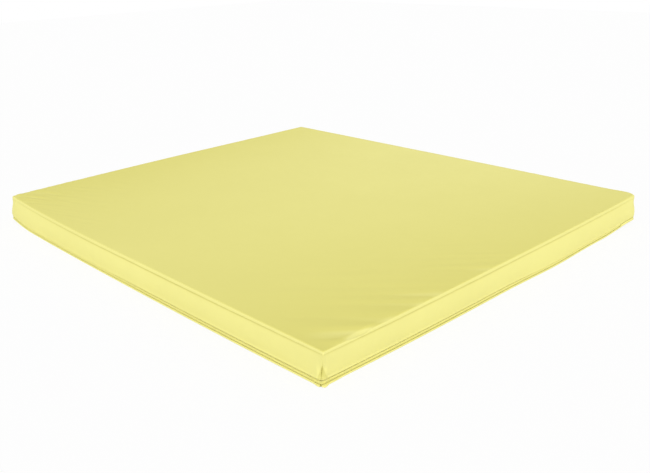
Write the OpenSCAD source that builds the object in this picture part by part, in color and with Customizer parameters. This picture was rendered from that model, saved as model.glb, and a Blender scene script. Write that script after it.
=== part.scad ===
// Square foam floor mat: a foam slab in a sewn cover that closes with a zip round three sides.
// Millimetres. The origin is at the middle of the underside, +Z is up, and the zip leaves the +Y side closed.
// A place on the cover is given by a side, a station along it, an inset from the mat's outline and a height.

/* [Mat] */
// Overall width, along X
mat_w = 1000; // [600:10:1400]
// Overall depth, along Y
mat_d = 1000; // [600:10:1400]
// Height of the top edge above the floor
edge_h = 64; // [50:1:100]
// Rise of the top's middle above its edge
crown = 3; // [1:0.5:6]
// Radius of the upright corners, seen from above
corner_r = 18; // [16:1:40]

/* [Cover] */
// Thickness of the coated cloth
cloth_t = 1; // [0.7:0.1:1.2]
// Radius of the top panel's rolled edge
roll_r = 6; // [5:0.5:7]
// Depth of the top seam below the top edge
seam_drop = 7.5; // [7.5:0.5:12]
// Inset of the top seam from the outline
seam_inset = 3.2; // [3:0.1:4]
// Inset of the cover's lower edges, beside the zip
hem_inset = 5; // [4.9:0.1:5.4]
// Extra thickness of the folded hem above the zip
hem_fold = 1.1; // [0.8:0.1:1.1]
// How much the swell of a side falls off at the corners
corner_draw = 1.5; // [0.5:0.1:2]
// Depth of the tuck at the foot of each corner seam
corner_tuck = 3; // [0:0.5:3.5]

/* [Zip] */
// Height of the middle of the chain above the floor
zip_z = 6.5; // [6.5:0.1:8]
// Width of the slot that the chain shows in
slot_w = 7; // [6.9:0.1:7.2]
// Width of the closed chain
chain_w = 4.2; // [3.8:0.1:4.2]
// Thickness of the chain
chain_t = 1.8; // [1.6:0.1:1.8]
// Thickness of the woven tape
tape_t = 0.5; // [0.3:0.1:0.5]
// Length of the slider
slider_l = 10; // [9:0.5:12]
// Length of the pull tab from its pin
tab_l = 20; // [16:1:24]
// Where the closed slider stands, from the back corner
slider_from_back = 70; // [65:5:120]

/* [Thread] */
// Diameter of the seam thread
thread_d = 0.6; // [0.4:0.1:0.7]

/* [Hidden] */
$fn = 48;

cloth_colour = "#F1E986";
foam_colour = "#F3EFE2";
zip_colour = "#E2D879";
metal_colour = "#C9C9C6";
thread_colour = "#D9CF70";

// Clearance between pieces that meet at a seam, and between the foam and the cover
seam_gap = 0.3;
foam_gap = 0.4;
// How far the foam's corners draw back behind the corner seams
foam_draw = 3.3;

// Sides are numbered anticlockwise from above: front, right, back, left
FRONT = 0;
RIGHT = 1;
BACK = 2;
LEFT = 3;

seam_z = edge_h - seam_drop;
roll_out = 1;
under_r = zip_z - slot_w / 2 - 0.4;
belly = (hem_inset + seam_inset) / 2;
hem_h = 10;

// Stretch at the back end of the zip over which the slot closes into a plain seam
slot_end = [30, 50];
tape_end = 40;
stop_from_back = 60;

// Depths of the zip's layers, as insets
chain_in = hem_inset + 0.3;
tape_in = chain_in + chain_t + 0.1;
tape_w = 12;
tape_foot_z = cloth_t + 0.2;
foam_low_inset = tape_in + tape_t + 2;
foam_low_z = tape_foot_z + tape_t + 0.7;

// Insets of the slider's plates and of the pull tab's pin
front_plate = [chain_in - 1.7, chain_in - 0.3];
back_plate = [tape_in + tape_t + 0.5, tape_in + tape_t + 1.5];
pin_in = front_plate[0] - 1;
pin_r = 0.6;
tab_w = 4.8;
tab_window = [pin_r, 4.2];
arch_half = 3.4;
arch_in = [pin_in - 1.8, pin_in - 0.85];
arch_w = 1.8;
slider_head = slot_w / 2 - 0.3;
slider_tail = slider_head - 0.3;
flange_in = chain_w / 2 + 0.25;
diamond_tail = 1.4;

function side_half(b) = (b % 2 == 0 ? mat_w : mat_d) / 2;
function side_off(b) = (b % 2 == 0 ? mat_d : mat_w) / 2;
function mix(a, b, t) = a + (b - a) * t;
function clamp01(t) = max(0, min(1, t));
function smooth(t) = t * t * (3 - 2 * t);
function turn(b, p) =
    b == FRONT ? p : b == RIGHT ? [-p.y, p.x, p.z] : b == BACK ? [-p.x, -p.y, p.z] : [p.y, -p.x, p.z];

// Stations along a side, each [place of the straight or of the arc's centre, angle round the corner]
arc_angles = [-45, -30, -15];
end_marks = [corner_r, slot_end[0], mix(slot_end[0], slot_end[1], 0.5), slot_end[1]];
inner_marks = [-0.66, -0.33, 0, 0.33, 0.66];
function straight_marks(half) = concat(
    [for (m = end_marks) m - half],
    [for (f = inner_marks) f * (half - slot_end[1])],
    [for (i = [len(end_marks) - 1:-1:0]) half - end_marks[i]]);
function stations(b) = let (c = side_half(b) - corner_r) concat(
    [for (a = arc_angles) [-c, a]],
    [for (m = straight_marks(side_half(b))) [m, 0]],
    [for (i = [len(arc_angles) - 1:-1:0]) [c, -arc_angles[i]]]);

// Point on a side at a station, an inset and a height
function spot(b, s, inset, z) = let (r = corner_r - inset)
    turn(b, [s[0] + r * sin(s[1]), corner_r - side_off(b) - r * cos(s[1]), z]);

// How far the zip's slot is open at a station: 1 along the zip, 0 along the plain back seam
function slot_open(b, s) = let (
    from_back = b == FRONT ? slot_end[1] : b == BACK ? 0 : side_half(b) + (b == LEFT ? 1 : -1) * s[0])
    smooth(clamp01((from_back - slot_end[0]) / (slot_end[1] - slot_end[0])));
function band_foot(b, s) = zip_z + mix(seam_gap, slot_w, slot_open(b, s)) / 2;
function bottom_lip(b, s) = zip_z - mix(seam_gap, slot_w, slot_open(b, s)) / 2;

// Inset of a band's outer face at a share of its height, from its foot to the top seam
function corner_share(b, s) = abs(s[1]) / 45 * 0.5 + 0.5 * pow(abs(s[0]) / (side_half(b) - corner_r), 6);
function band_inset(b, s, w) =
    mix(hem_inset, seam_inset, w)
    - (belly - corner_draw * corner_share(b, s)) * pow(sin(180 * w), 0.7)
    + corner_tuck * pow(abs(s[1]) / 45, 6) * pow(1 - w, 2) * w * 4;

// One closed ring of points round the mat, with the inset and the height read at each station
function ring(inset, z) =
    [for (b = [0:3]) let (list = stations(b)) for (i = [0:len(list) - 2]) spot(b, list[i], inset, z)];
function lip_ring(inset) =
    [for (b = [0:3]) let (list = stations(b)) for (i = [0:len(list) - 2])
        spot(b, list[i], inset, bottom_lip(b, list[i]))];
function foam_ring(w) =
    [for (b = [0:3]) let (list = stations(b)) for (i = [0:len(list) - 2])
        spot(b, list[i], band_inset(b, list[i], w) + cloth_t + foam_gap + foam_draw * pow(list[i][1] / 45, 2),
             mix(zip_z + slot_w / 2, seam_z, w))];
function shrunk(points, f, z) = [for (p = points) [p.x * f, p.y * f, z]];

// Rings of the crowned top from its rolled edge to its middle
crown_steps = [0.9, 0.7, 0.45, 0.2];
function crown_z(f) = crown * (1 - f * f);
function crown_rings(inset, z, steps) =
    let (edge = ring(inset, z)) [for (f = steps) shrunk(edge, f, z + crown_z(f))];

// Closed skin through rings of equal length, shut at each end by a fan to a middle point
module closed_skin(rings, first_z, last_z) {
    n = len(rings[0]);
    m = len(rings);
    points = concat([for (r = rings) each r], [[0, 0, first_z], [0, 0, last_z]]);
    walls = [for (j = [0:m - 2]) for (i = [0:n - 1]) let (k = (i + 1) % n)
        each [[j * n + i, j * n + k, (j + 1) * n + k], [j * n + i, (j + 1) * n + k, (j + 1) * n + i]]];
    first = [for (i = [0:n - 1]) [m * n, (i + 1) % n, i]];
    last = [for (i = [0:n - 1]) [m * n + 1, (m - 1) * n + i, (m - 1) * n + (i + 1) % n]];
    polyhedron(points, concat(walls, first, last));
}

// Closed strip through cross-sections, each a list of [outer point, inner point] pairs
module strip(sections) {
    p = len(sections[0]);
    m = len(sections);
    n = 2 * p;
    loops = [for (s = sections) concat([for (q = s) q[0]], [for (i = [p - 1:-1:0]) s[i][1]])];
    walls = [for (j = [0:m - 2]) for (i = [0:n - 1]) let (k = (i + 1) % n)
        each [[j * n + i, (j + 1) * n + k, j * n + k], [j * n + i, (j + 1) * n + i, (j + 1) * n + k]]];
    first = [for (i = [0:p - 2]) each [[i, i + 1, n - 2 - i], [i, n - 2 - i, n - 1 - i]]];
    last = [for (f = first) [for (i = [2:-1:0]) (m - 1) * n + f[i]]];
    polyhedron([for (l = loops) each l], concat(walls, first, last));
}

// Foam slab, shaped to the inside of the cover and cut back behind the zip
module foam_core() {
    depth = cloth_t + foam_gap;
    top_inset = roll_out + roll_r + 2;
    top_z = edge_h - cloth_t - foam_gap;
    low = [for (z = [foam_low_z, zip_z + slot_w / 2 + hem_h]) ring(foam_low_inset, z)];
    side = [for (w = [0.35, 0.55, 0.75]) foam_ring(w)];
    shoulder = [ring(seam_inset + cloth_t + thread_d + 1, seam_z), ring(roll_out + depth + 2, edge_h - roll_r + 1)];
    top = concat([ring(top_inset, top_z)], crown_rings(top_inset, top_z, crown_steps));
    color(foam_colour)
        closed_skin(concat(low, side, shoulder, top), foam_low_z, top_z + crown);
}

// Top panel: crowned sheet that rolls over the edge and turns in at the top seam
module top_panel() {
    lip_z = seam_z + seam_gap / 2;
    mid = [roll_out + roll_r, edge_h - roll_r];
    outer = concat(
        [ring(seam_inset, lip_z)],
        [for (a = [0:30:90]) ring(mid.x - roll_r * cos(a), mid.y + roll_r * sin(a))],
        crown_rings(mid.x, edge_h, crown_steps));
    in_r = roll_r - cloth_t;
    inner = concat(
        [ring(seam_inset + cloth_t, lip_z)],
        [for (a = [0:45:90]) ring(mid.x - in_r * cos(a), mid.y + in_r * sin(a))],
        crown_rings(mid.x, edge_h - cloth_t, crown_steps));
    flipped = [for (i = [len(inner) - 1:-1:0]) inner[i]];
    color(cloth_colour)
        closed_skin(concat(flipped, outer), edge_h - cloth_t + crown, edge_h + crown);
}

// Side band from the top seam to the folded hem above the zip, from one corner seam to the next
band_shares = [0, 0.04, 0.14, 0.24, 0.29, 0.5, 0.75, 0.92, 0.98, 1];
hem_share = 0.26;
end_angle = 45 - atan(seam_gap / corner_r);
module band(b) {
    list = [for (s = stations(b)) [s[0], max(-end_angle, min(end_angle, s[1]))]];
    color(cloth_colour) strip([for (s = list) [for (w = band_shares)
        let (
            z = mix(band_foot(b, s), seam_z - seam_gap / 2, w),
            inset = band_inset(b, s, w),
            t = cloth_t + (w < hem_share ? hem_fold : 0))
        [spot(b, s, inset, z), spot(b, s, inset + t, z)]]]);
}

// Bottom panel: flat sheet whose rim turns up to the zip, and to a plain seam along the back
module bottom_panel() {
    mid = [hem_inset + under_r, under_r];
    in_r = under_r - cloth_t;
    outer = concat([lip_ring(hem_inset)],
        [for (a = [0:30:90]) ring(mid.x - under_r * cos(a), mid.y - under_r * sin(a))]);
    inner = concat([lip_ring(hem_inset + cloth_t)],
        [for (a = [0:30:90]) ring(mid.x - in_r * cos(a), mid.y - in_r * sin(a))]);
    flipped = [for (i = [len(outer) - 1:-1:0]) outer[i]];
    color(cloth_colour) closed_skin(concat(flipped, inner), 0, cloth_t);
}

// Plan of the mat at an inset, with round corners
module plan(inset) {
    r = corner_r - inset;
    w = mat_w - 2 * inset;
    d = mat_d - 2 * inset;
    square([w - 2 * r, d], center = true);
    square([w, d - 2 * r], center = true);
    for (x = [-1, 1], y = [-1, 1]) translate([x * (w / 2 - r), y * (d / 2 - r)]) circle(r);
}

// Strip of plan between two insets along the zip's three sides, ending short of the back on the left and the right
module zip_plan(inset, thickness, left_end, right_end) {
    difference() {
        plan(inset);
        plan(inset + thickness);
        translate([-mat_w, mat_d / 2 - left_end]) square([mat_w, mat_d]);
        translate([0, mat_d / 2 - right_end]) square([mat_w, mat_d]);
    }
}

module zip_tape_upper() {
    color(zip_colour) translate([0, 0, zip_z + chain_w / 2 - 0.8])
        linear_extrude(tape_w) zip_plan(tape_in, tape_t, tape_end, tape_end);
}

// The lower tape turns in under the foam, because the rim in front of it is low
module zip_tape_lower() {
    top = zip_z - chain_w / 2 + 0.8;
    color(zip_colour) {
        translate([0, 0, tape_foot_z]) linear_extrude(top - tape_foot_z)
            zip_plan(tape_in, tape_t, tape_end, tape_end);
        translate([0, 0, tape_foot_z]) linear_extrude(tape_t)
            zip_plan(tape_in, tape_w - top + tape_foot_z, tape_end, tape_end);
    }
}

// One half of the chain, as the envelope of its coil
module zip_coil(z) {
    left_end = slider_from_back - slider_l / 2 + diamond_tail + 2.4;
    color(zip_colour) translate([0, 0, z]) linear_extrude(chain_w / 2 - 0.08)
        zip_plan(chain_in, chain_t, left_end, stop_from_back + 1);
}

module zip_coil_upper() { zip_coil(zip_z + 0.08); }

module zip_coil_lower() { zip_coil(zip_z - chain_w / 2); }

// Places a piece on a side: x runs along the side, y is the inset and z the height
module on_left(along) {
    translate([-mat_w / 2, 0, 0]) rotate([0, 0, -90]) translate([along, 0, 0]) children();
}

module on_right(along) {
    translate([mat_w / 2, 0, 0]) rotate([0, 0, 90]) translate([along, 0, 0]) children();
}

// Plate seen from outside the mat, between two insets
module face_plate(insets) {
    translate([0, insets[1], zip_z]) rotate([90, 0, 0]) linear_extrude(insets[1] - insets[0]) children();
}

slider_at = slider_from_back - mat_d / 2;

module slider_outline() {
    end = slider_l / 2;
    polygon([[-end, -slider_head + 1.1], [1 - end, -slider_head], [1, -slider_head], [end, -slider_tail],
             [end, slider_tail], [1, slider_head], [1 - end, slider_head], [-end, slider_head - 1.1]]);
}

// Slider: front and back plates joined by the diamond, with flanges round the chain and an arch for the pull tab
module zip_slider() {
    end = slider_l / 2;
    flange = [front_plate[1] - 0.1, tape_in - 0.5];
    arch_foot = front_plate[0] + 0.1;
    color(metal_colour) on_left(slider_at) {
        face_plate(front_plate) slider_outline();
        face_plate(back_plate) slider_outline();
        for (m = [0, 1]) face_plate(flange) mirror([0, m])
            polygon([[1 - end, flange_in], [end, flange_in], [end, slider_tail], [1, slider_head],
                     [1 - end, slider_head]]);
        face_plate([front_plate[1] - 0.1, back_plate[0] + 0.1])
            polygon([[0.4 - end, 0], [diamond_tail + 0.4 - end, -0.9], [2 * diamond_tail + 0.4 - end, 0],
                     [diamond_tail + 0.4 - end, 0.9]]);
        translate([0, 0, zip_z - arch_w / 2]) linear_extrude(arch_w) difference() {
            polygon([[-arch_half, arch_foot], [-arch_half, arch_in[0] + 1], [1 - arch_half, arch_in[0]],
                     [arch_half - 1, arch_in[0]], [arch_half, arch_in[0] + 1], [arch_half, arch_foot]]);
            polygon([[1 - arch_half, arch_foot + 1], [1 - arch_half, arch_in[1] + 0.5], [1.5 - arch_half, arch_in[1]],
                     [arch_half - 1.5, arch_in[1]], [arch_half - 1, arch_in[1] + 0.5], [arch_half - 1, arch_foot + 1]]);
        }
    }
}

// Pull tab, lying flat over the closed chain: a pin under the arch, two arms beside it and a ridged grip
module zip_pull_tab() {
    arm_w = (tab_w - arch_w - 0.6) / 2;
    grip_r = tab_w / 2 + 0.4;
    faces = [pin_in - pin_r, pin_in + pin_r];
    color(metal_colour) on_left(slider_at) {
        translate([0, pin_in, zip_z - tab_w / 2]) cylinder(r = pin_r, h = tab_w);
        for (m = [0, 1]) face_plate(faces) mirror([0, m])
            translate([0, tab_w / 2 - arm_w]) square([tab_window[1] + 0.5, arm_w]);
        face_plate(faces) {
            polygon([[tab_window[1], -tab_w / 2], [tab_l - grip_r, -grip_r], [tab_l - grip_r, grip_r],
                     [tab_window[1], tab_w / 2]]);
            translate([tab_l - grip_r, 0]) circle(grip_r);
        }
        for (i = [0:3]) translate([tab_l - grip_r - 1.6 * i, pin_in - pin_r - 0.3, zip_z - tab_w / 2 + 0.4])
            cube([0.7, 0.5, tab_w - 0.8]);
    }
}

// Two stops at the closed end of the chain, one on each half
module zip_stops_top() {
    stop = [1.8, chain_t + 0.3, chain_w / 2];
    color(metal_colour) on_left(slider_at - slider_l / 2 - 3.2)
        for (z = [zip_z + 0.2, zip_z - 0.2 - stop.z]) translate([0, chain_in - 0.4, z]) cube(stop);
}

// One stop across both halves at the other end
module zip_stop_bottom() {
    stop = [3, chain_t + 0.3, chain_w + 0.4];
    color(metal_colour) on_right(mat_d / 2 - stop_from_back - 0.8)
        translate([0, chain_in - 0.4, zip_z - stop.z / 2]) cube(stop);
}

// Straight run of thread along a side, between two places on it
module thread_run(b, inset, z, from, to) {
    rotate([0, 0, 90 * b]) translate([from, inset - side_off(b), z]) rotate([0, 90, 0])
        cylinder(d = thread_d, h = to - from);
}

// Quarter turn of thread at the corner where a side ends
module thread_turn(b, inset, z) {
    c = side_half(b) - corner_r;
    rotate([0, 0, 90 * b]) translate([c, corner_r - side_off(b), z]) rotate([0, 0, -90])
        rotate_extrude(angle = 90) translate([corner_r - inset, 0]) circle(d = thread_d);
}

// Thread along the zip's three sides
module zip_thread(inset, z) {
    c = [for (b = [0:3]) side_half(b) - corner_r];
    back = side_half(LEFT) - tape_end;
    color(thread_colour) {
        thread_run(LEFT, inset, z, -back, c[LEFT]);
        thread_turn(LEFT, inset, z);
        thread_run(FRONT, inset, z, -c[FRONT], c[FRONT]);
        thread_turn(FRONT, inset, z);
        thread_run(RIGHT, inset, z, -c[RIGHT], back);
    }
}

// Bobbin thread behind the hem and the upper tape
module zip_thread_upper() { zip_thread(tape_in + tape_t + thread_d / 2 + 0.05, zip_z + slot_w / 2 + 4); }

// Bobbin thread on the lower tape's foot, above the bottom panel
module zip_thread_lower() { zip_thread(tape_in + 4, tape_foot_z + tape_t + thread_d / 2 + 0.05); }

// Thread behind the top seam, all the way round
module top_seam_thread() {
    inset = seam_inset + cloth_t + thread_d / 2 + 0.2;
    color(thread_colour) for (b = [0:3]) {
        thread_run(b, inset, seam_z, corner_r - side_half(b), side_half(b) - corner_r);
        thread_turn(b, inset, seam_z);
    }
}

// Thread behind the plain bottom seam, along the back and round to the ends of the zip
module bottom_seam_thread() {
    inset = hem_inset + cloth_t + hem_fold + thread_d / 2 + 0.9;
    ends = side_half(LEFT) - tape_end + 2;
    color(thread_colour) {
        thread_run(RIGHT, inset, zip_z, ends, side_half(RIGHT) - corner_r);
        thread_turn(RIGHT, inset, zip_z);
        thread_run(BACK, inset, zip_z, corner_r - side_half(BACK), side_half(BACK) - corner_r);
        thread_turn(BACK, inset, zip_z);
        thread_run(LEFT, inset, zip_z, corner_r - side_half(LEFT), -ends);
    }
}

// Upright threads behind the four corner seams, above the zip's tape
module corner_seam_threads() {
    foot = zip_z + tape_w + 4;
    inset = hem_inset + thread_d;
    color(thread_colour) for (b = [0:3]) {
        s = [side_half(b) - corner_r, 45];
        translate(spot(b, s, inset, foot)) cylinder(d = thread_d, h = seam_z - 4 - foot);
    }
}

foam_core();
top_panel();
band(FRONT);  // band_front
band(RIGHT);  // band_right
band(BACK);  // band_back
band(LEFT);  // band_left
bottom_panel();
zip_tape_upper();
zip_tape_lower();
zip_coil_upper();
zip_coil_lower();
zip_slider();
zip_pull_tab();
zip_stops_top();
zip_stop_bottom();
top_seam_thread();
corner_seam_threads();
bottom_seam_thread();
zip_thread_upper();
zip_thread_lower();
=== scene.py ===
"""Square foam mat in a sewn, zipped cover of pale yellow coated cloth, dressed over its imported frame."""
import math

import bmesh
import bpy
from mathutils import Matrix, Vector, noise


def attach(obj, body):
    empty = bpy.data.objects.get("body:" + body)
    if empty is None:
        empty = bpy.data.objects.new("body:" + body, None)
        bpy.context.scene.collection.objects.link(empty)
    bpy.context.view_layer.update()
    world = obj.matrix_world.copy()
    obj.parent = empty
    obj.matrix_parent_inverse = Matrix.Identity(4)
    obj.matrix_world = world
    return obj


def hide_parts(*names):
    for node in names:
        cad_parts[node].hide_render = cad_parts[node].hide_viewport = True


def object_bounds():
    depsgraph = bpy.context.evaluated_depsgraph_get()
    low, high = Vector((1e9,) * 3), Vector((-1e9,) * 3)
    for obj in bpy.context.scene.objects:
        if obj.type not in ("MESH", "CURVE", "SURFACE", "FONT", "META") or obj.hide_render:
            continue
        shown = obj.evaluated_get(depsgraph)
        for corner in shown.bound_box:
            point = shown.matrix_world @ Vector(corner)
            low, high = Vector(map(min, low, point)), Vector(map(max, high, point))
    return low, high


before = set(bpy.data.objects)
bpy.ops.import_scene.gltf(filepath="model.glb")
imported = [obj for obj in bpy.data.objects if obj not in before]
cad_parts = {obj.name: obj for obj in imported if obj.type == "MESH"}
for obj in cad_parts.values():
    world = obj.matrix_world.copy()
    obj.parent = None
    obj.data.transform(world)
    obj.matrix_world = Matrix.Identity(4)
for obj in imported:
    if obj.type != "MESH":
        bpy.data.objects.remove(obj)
cad_low, cad_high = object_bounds()

MM = 0.001
TINY = 1e-9
SIDES = ("front", "right", "back", "left")
FRONT, RIGHT, BACK, LEFT = range(4)
QUARTER = math.radians(90)

# Mat and cover, in metres
HALF = (cad_high.x - cad_low.x) / 2
EDGE_H = 64 * MM
CROWN = 3 * MM
RIM_CORNER_R = 8 * MM
CLOTH_T = 0.8 * MM

# Top seam and the rolled edge above it
SEAM_Z = 56.5 * MM
SEAM_IN = 3.2 * MM
SEAM_GAP = 0.3 * MM
ALLOWANCE = 5 * MM
ROLL_OUT = 1.0 * MM
ROLL_W = 1.6 * MM
ROLL_LENGTH = 6.4 * MM
VALLEY = 3 * MM
VALLEY_RISE = 1.5 * MM

# Zip, low on the front, right and left sides
ZIP_Z = 6.5 * MM
SLOT_W = 7 * MM
HEM_IN = 5 * MM
HEM_PLY = 1.5 * MM
HEM_H = 9 * MM
HEM_STITCH = 4 * MM
HEM_LIFT = 1.5 * MM
HEM_LIFT_REACH = 8 * MM
HEM_ROLL = 0.7 * MM
HEM_ROLL_AT = 1.8 * MM
HEM_ROLL_W = 1.6 * MM
RIM_IN = 6 * MM
RIM_BULGE = 1.8 * MM
CHAIN_IN = 6.2 * MM
TAPE_IN = 6.7 * MM
TAPE_LOW_IN = 7.1 * MM
TAPE_T = 0.5 * MM
TAPE_END = 40 * MM
SLOT_CLOSED = {RIGHT: 52 * MM, LEFT: 44 * MM}
SLOT_OPENED = {RIGHT: 64 * MM, LEFT: 59 * MM}
CHAIN_LEFT_END = 69 * MM
CHAIN_RIGHT_END = 61.5 * MM


def mix(a, b, t):
    return a + (b - a) * t


def smooth(t):
    t = min(1.0, max(0.0, t))
    return t * t * (3 - 2 * t)


def hump(distance, width):
    return math.exp(-(distance / width) ** 2)


def drift(p, pitch, seed):
    """Slow random wave between about -1 and 1, the same on every run."""
    return noise.noise(Vector((p.x / pitch, p.y / pitch, p.z / pitch + seed)))


# Places on the mat

NEAR, OUTER_LEFT, OUTER_RIGHT, FAR = (1, -1), (-1, -1), (1, 1), (-1, 1)
CORNERS = (OUTER_LEFT, NEAR, OUTER_RIGHT, FAR)

# Radii of the upright corners, and the heights between which one passes into the next
BAND_CORNER_R = {NEAR: 14 * MM, OUTER_LEFT: 6 * MM, OUTER_RIGHT: 8 * MM, FAR: 10 * MM}
TOP_CORNER_R = {NEAR: 2.5 * MM, OUTER_LEFT: 3.5 * MM, OUTER_RIGHT: 11 * MM, FAR: 6 * MM}
BAND_ROUND_FROM = 2.5 * MM
BAND_ROUND_OVER = 7.5 * MM
TOP_ROUND_FROM = 30 * MM
TOP_ROUND_OVER = 26 * MM


def corner_at(side, share):
    """Corner that a place along a side is nearest to."""
    return CORNERS[(side + (share > 0)) % 4]


def turned(side, x, y, z):
    """Turns a point on the front side to the side it belongs to."""
    return Vector(((x, y, z), (-y, x, z), (-x, -y, z), (y, -x, z))[side])


def corner_radius(corner, z):
    """Radius of an upright corner, tighter at the rim and at the top than between them."""
    lower = mix(RIM_CORNER_R, BAND_CORNER_R[corner], smooth((z - BAND_ROUND_FROM) / BAND_ROUND_OVER))
    return mix(lower, TOP_CORNER_R[corner], smooth((z - TOP_ROUND_FROM) / TOP_ROUND_OVER))


def on_side(side, share, inset, z):
    """Point on a side at a share of its half length, from -1 at one corner to 1 at the next."""
    half = HALF - inset
    radius = max(corner_radius(corner_at(side, share), z) - inset, 0.0)
    along = share * half
    straight = half - radius
    if abs(along) <= straight or radius == 0:
        return turned(side, along, -half, z)
    angle = math.radians(45) * (abs(along) - straight) / radius
    x = straight + radius * math.sin(angle)
    y = straight + radius * math.cos(angle)
    return turned(side, math.copysign(x, along), -y, z)


# In millimetres: a corner's pulls and nips along X and Y, its flare, rise, lift and droop, and a side's bow
FOOT_PULL = {NEAR: (8.9, 6.2), OUTER_LEFT: (0, 8.5), OUTER_RIGHT: (-4, 1.4), FAR: (0, 0)}
TOP_PULL = {NEAR: (3, 1.7), OUTER_LEFT: (15.8, 16.4), OUTER_RIGHT: (5.0, 1.6), FAR: (-5, 10)}
FOOT_NIP = {NEAR: (0, 0), OUTER_LEFT: (-1.5, 9.5), OUTER_RIGHT: (4, -3), FAR: (0, 0)}
FOOT_FLARE = {NEAR: 0, OUTER_LEFT: 3.2, OUTER_RIGHT: 2.2, FAR: 0}
FOOT_RISE = {NEAR: 0, OUTER_LEFT: 4, OUTER_RIGHT: 5.7, FAR: 0}
RISE_FULL = {NEAR: 0, OUTER_LEFT: 15 * MM, OUTER_RIGHT: 35 * MM, FAR: 0}
RISE_REACH = {NEAR: MM, OUTER_LEFT: 110 * MM, OUTER_RIGHT: 150 * MM, FAR: MM}
TIP_LIFT = {NEAR: 0, OUTER_LEFT: 0, OUTER_RIGHT: 2.0, FAR: 0}
TIP_LIFT_REACH = 45 * MM
TIP_DROOP = {NEAR: 0, OUTER_LEFT: 1.0, OUTER_RIGHT: 9.5, FAR: 0}
TIP_DROOP_REACH = 7 * MM
PULL_FROM = 12 * MM
PULL_OVER = 46 * MM
PULL_POWER = 2.4
TOP_POWER_X = {NEAR: 2.4, OUTER_LEFT: 1.2, OUTER_RIGHT: 2.4, FAR: 1.2}
TOP_POWER_Y = {NEAR: 2.4, OUTER_LEFT: 2.4, OUTER_RIGHT: 2.4, FAR: 1.2}
NIP_POWER = 14
FLARE_POWER = 30
BOW = 4.5
BOW_AT = 150 * MM
BOW_REACH = 110 * MM


def settled(p):
    """Where a point of the cover lies once the tight cover has pulled the mat's corners in."""
    corner = (1 if p.x >= 0 else -1, 1 if p.y >= 0 else -1)
    rise = smooth((p.z - PULL_FROM) / PULL_OVER)
    foot, top, nip, flare = FOOT_PULL[corner], TOP_PULL[corner], FOOT_NIP[corner], FOOT_FLARE[corner]
    across = abs(p.x) / HALF
    along = abs(p.y) / HALF
    low_x = nip[0] * along ** NIP_POWER - flare * along ** FLARE_POWER
    low_y = nip[1] * across ** NIP_POWER - flare * across ** FLARE_POWER
    low_x = low_x + foot[0] * along ** PULL_POWER
    low_y = low_y + foot[1] * across ** PULL_POWER
    pull_x = mix(low_x, top[0] * along ** TOP_POWER_X[corner], rise)
    pull_y = mix(low_y, top[1] * across ** TOP_POWER_Y[corner], rise)
    if p.x > 0:
        pull_x = pull_x - (1 - rise) * BOW * hump(p.y - BOW_AT, BOW_REACH)
    shift_x = -corner[0] * pull_x * smooth(2 * across - 1)
    shift_y = -corner[1] * pull_y * smooth(2 * along - 1)
    from_tip = HALF * math.hypot(1 - across, 1 - along)
    near_tip = smooth((RISE_REACH[corner] - from_tip) / (RISE_REACH[corner] - RISE_FULL[corner]))
    tip = TIP_LIFT[corner] * hump(from_tip, TIP_LIFT_REACH)
    tip = tip - TIP_DROOP[corner] * math.exp(-from_tip / TIP_DROOP_REACH)
    shift_z = mix(FOOT_RISE[corner] * near_tip, tip, rise)
    return p + Vector((shift_x, shift_y, shift_z)) * MM


def slot_open(side, share):
    """How far the zip's slot is open: 1 along the zip and 0 along the plain seam at the back."""
    if side in (FRONT, BACK):
        return 1.0 if side == FRONT else 0.0
    from_back = HALF * (1 - share) if side == RIGHT else HALF * (1 + share)
    return smooth((from_back - SLOT_CLOSED[side]) / (SLOT_OPENED[side] - SLOT_CLOSED[side]))


def to_corner(share):
    return (1 - abs(share)) * HALF


HEM_DROP = 1.2 * MM
HEM_DROP_FROM = 550 * MM
HEM_DROP_OVER = 150 * MM


def hem_drop(side, share):
    """How far the hem hangs over the zip towards the outer corners of the front and the right side."""
    if side not in (FRONT, RIGHT):
        return 0.0
    from_outer = HALF * (1 + share) if side == FRONT else HALF * (1 - share)
    return HEM_DROP * smooth((HEM_DROP_FROM - from_outer) / HEM_DROP_OVER) * slot_open(side, share)


def band_foot(side, share):
    """Height of a band's lower edge, which lifts a little at the corners of the zip."""
    gap = mix(SEAM_GAP, SLOT_W, slot_open(side, share)) / 2
    lift = HEM_LIFT * math.exp(-to_corner(share) / HEM_LIFT_REACH) * slot_open(side, share)
    return ZIP_Z + gap + lift - hem_drop(side, share)


def bottom_lip(side, share):
    return ZIP_Z - mix(SEAM_GAP, SLOT_W, slot_open(side, share)) / 2


SEAM_SWAY = 0.5 * MM
SEAM_SWAY_PITCH = 90 * MM
SEAM_JITTER = 0.25 * MM
SEAM_JITTER_PITCH = 28 * MM
SEAM_LIFT = 3.2 * MM
SEAM_LIFT_REACH = {FRONT: 140 * MM, RIGHT: 75 * MM}


def seam_wave(side, share):
    """Wander of the top seam's height, which climbs towards the near corner."""
    p = on_side(side, share, 0, 0)
    wave = SEAM_SWAY * drift(p, SEAM_SWAY_PITCH, seed=3) + SEAM_JITTER * drift(p, SEAM_JITTER_PITCH, seed=9)
    if side in SEAM_LIFT_REACH:
        distance = HALF * (1 - share) if side == FRONT else HALF * (1 + share)
        wave = wave + SEAM_LIFT * math.exp(-distance / SEAM_LIFT_REACH[side])
    return wave


def zip_place(distance, left_end):
    """Side and share at a distance along the zip, from its end on the left round the front to the right."""
    first = 2 * HALF - left_end
    if distance < first:
        return LEFT, distance / HALF - 1 + left_end / HALF
    distance = distance - first
    if distance < 2 * HALF:
        return FRONT, distance / HALF - 1
    return RIGHT, (distance - 2 * HALF) / HALF - 1


ZIP_BULGE = 0.5 * MM
ZIP_BULGE_REACH = 110 * MM


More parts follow.
